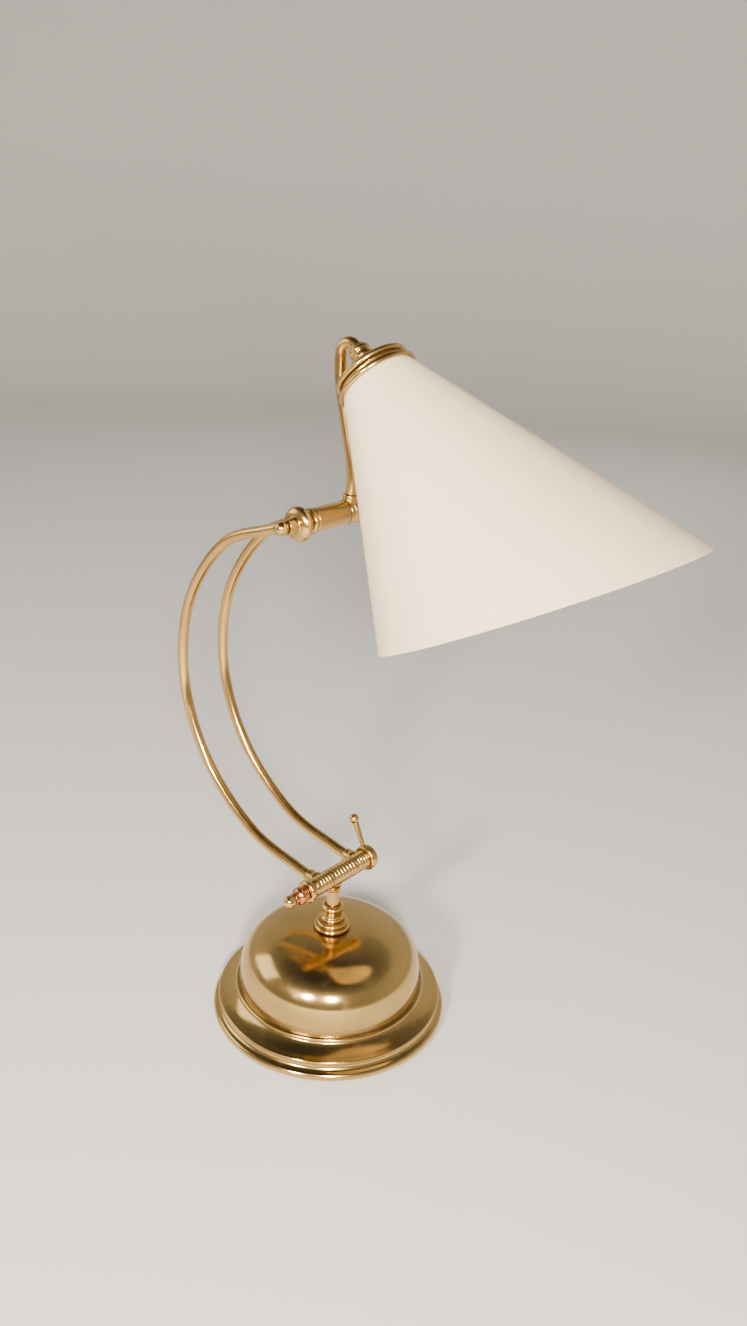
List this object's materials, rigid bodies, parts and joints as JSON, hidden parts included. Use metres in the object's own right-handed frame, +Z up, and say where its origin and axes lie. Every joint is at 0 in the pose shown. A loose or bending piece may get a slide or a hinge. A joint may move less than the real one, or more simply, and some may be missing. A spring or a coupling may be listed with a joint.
{
  "type": "swing arm desk lamp",
  "caption": "Brass desk lamp: weighted dome base, swivelling stem, two bowed parallel arm tubes between clamped barrels, and a tilting cone shade on a crook.",
  "frame": {"origin": "middle of the felt's underside, on the axis of the base and stem, at table level", "axes": "+Z up; +X the way the head reaches; +Y along both barrels, away from the plain ball-nut ends and towards the clamp levers"},
  "size_m": [0.3818, 0.2338, 0.5038],
  "materials": {
    "polished_brass": "polished, lightly tarnished in the grooves",
    "coppery_brass": "polished, redder than the rest",
    "zinc_steel": "zinc plated, dull",
    "cast_iron": "rough casting",
    "ivory_paint": "satin",
    "green_baize": "matt felt",
    "black_rubber": "matt",
    "black_bakelite": "moulded, semi-gloss",
    "porcelain": "glazed",
    "bulb_aluminium": "plain, bright",
    "pearl_glass": "pearl frosted"
  },
  "bodies": {
    "base": {"base_shell": "polished_brass", "base_weight": "cast_iron", "base_plate": "zinc_steel", "plate_screw_1": "zinc_steel", "plate_screw_2": "zinc_steel", "plate_screw_3": "zinc_steel", "baize_pad": "green_baize", "cable_gland": "black_rubber", "stem_flange": "polished_brass", "stem_collar": "polished_brass"},
    "stem": {"stem_tube": "polished_brass", "stem_washer": "zinc_steel", "stem_lock_nut": "zinc_steel", "stem_knuckle": "polished_brass", "lower_rod": "zinc_steel", "lower_flange": "polished_brass", "lower_collar": "coppery_brass", "lower_ball_nut": "polished_brass"},
    "arm": {"arm_tube_front": "polished_brass", "arm_tube_back": "polished_brass", "lower_knuckle_front": "polished_brass", "lower_knuckle_back": "polished_brass", "upper_drum": "polished_brass", "upper_band": "polished_brass", "upper_barrel": "polished_brass", "upper_rod": "zinc_steel", "upper_ball_nut": "polished_brass"},
    "lower_lever": {"lower_lever_hub": "polished_brass", "lower_lever_rod": "polished_brass", "lower_lever_knob": "polished_brass"},
    "upper_lever": {"upper_lever_hub": "polished_brass", "upper_lever_rod": "polished_brass", "upper_lever_knob": "polished_brass"},
    "head": {"hook_knuckle": "polished_brass", "hook_tube": "polished_brass", "cap_ferrule": "polished_brass", "cap_shell": "polished_brass", "cap_rim": "polished_brass", "shade": "ivory_paint", "lampholder_nipple": "polished_brass", "lampholder_body": "polished_brass", "lampholder_ring": "black_bakelite", "lampholder_insulator": "porcelain", "contact_pin_1": "polished_brass", "contact_pin_2": "polished_brass", "bulb_cap": "bulb_aluminium", "bulb_glass": "pearl_glass"}
  },
  "joints": [
    {"name": "stem_swivel", "type": "hinge", "parent": "base", "child": "stem", "pos_m": [0, 0, 0.0795], "axis": [0, 0, 1], "range_deg": [-170, 170]},
    {"name": "arm_tilt", "type": "hinge", "parent": "stem", "child": "arm", "pos_m": [0, 0, 0.117], "axis": [0, 1, 0], "range_deg": [-25, 40]},
    {"name": "head_tilt", "type": "hinge", "parent": "arm", "child": "head", "pos_m": [-0.0365, 0.04, 0.3845], "axis": [0, 1, 0], "range_deg": [-30, 45]},
    {"name": "lower_lever_turn", "type": "hinge", "parent": "stem", "child": "lower_lever", "pos_m": [0, 0.037, 0.117], "axis": [0, 1, 0], "range_deg": [-60, 60]},
    {"name": "upper_lever_turn", "type": "hinge", "parent": "arm", "child": "upper_lever", "pos_m": [-0.0365, 0.05, 0.3845], "axis": [0, 1, 0], "range_deg": [-60, 20]}
  ]
}
